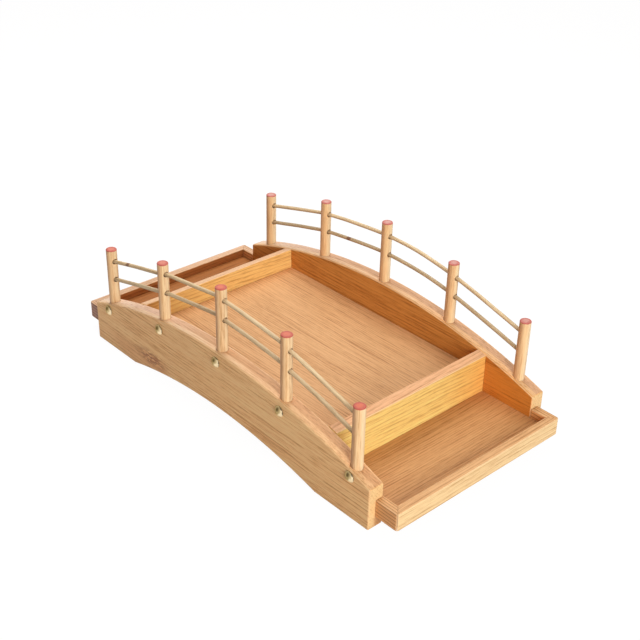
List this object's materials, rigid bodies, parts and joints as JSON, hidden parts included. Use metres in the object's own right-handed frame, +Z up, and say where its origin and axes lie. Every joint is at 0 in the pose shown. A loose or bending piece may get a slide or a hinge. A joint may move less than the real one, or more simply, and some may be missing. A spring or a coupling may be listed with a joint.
{
  "type": "sushi bridge",
  "caption": "Arched wooden serving bridge with a walled middle deck, a low open tray at each end and a railing of round posts and thin bamboo rails along both sides.",
  "frame": {"origin": "on the table, under the middle of the bridge", "axes": "+X along the bridge towards its right end, +Y towards its back, +Z up"},
  "size_m": [0.505, 0.2536, 0.157],
  "materials": {
    "board_wood": "satin clear varnish",
    "post_wood": "satin clear varnish, tops painted red",
    "rail_bamboo": "plain bamboo",
    "stud_brass": "dull plated brass",
    "deck_wood": "satin clear varnish",
    "divider_wood": "satin clear varnish",
    "tray_floor_wood": "satin clear varnish",
    "tray_wall_wood": "satin clear varnish"
  },
  "bodies": {
    "root": {"front_side_board": "board_wood", "front_upper_rail": "rail_bamboo", "front_lower_rail": "rail_bamboo", "front_post_1": "post_wood", "front_post_2": "post_wood", "front_post_3": "post_wood", "front_post_4": "post_wood", "front_post_5": "post_wood", "front_stud_1": "stud_brass", "front_stud_2": "stud_brass", "front_stud_3": "stud_brass", "front_stud_4": "stud_brass", "front_stud_5": "stud_brass", "back_side_board": "board_wood", "back_upper_rail": "rail_bamboo", "back_lower_rail": "rail_bamboo", "back_post_1": "post_wood", "back_post_2": "post_wood", "back_post_3": "post_wood", "back_post_4": "post_wood", "back_post_5": "post_wood", "back_stud_1": "stud_brass", "back_stud_2": "stud_brass", "back_stud_3": "stud_brass", "back_stud_4": "stud_brass", "back_stud_5": "stud_brass", "deck": "deck_wood", "left_divider": "divider_wood", "left_tray_floor": "tray_floor_wood", "left_end_wall": "tray_wall_wood", "left_front_tray_side": "tray_wall_wood", "left_back_tray_side": "tray_wall_wood", "right_divider": "divider_wood", "right_tray_floor": "tray_floor_wood", "right_end_wall": "tray_wall_wood", "right_front_tray_side": "tray_wall_wood", "right_back_tray_side": "tray_wall_wood"}
  },
  "joints": []
}
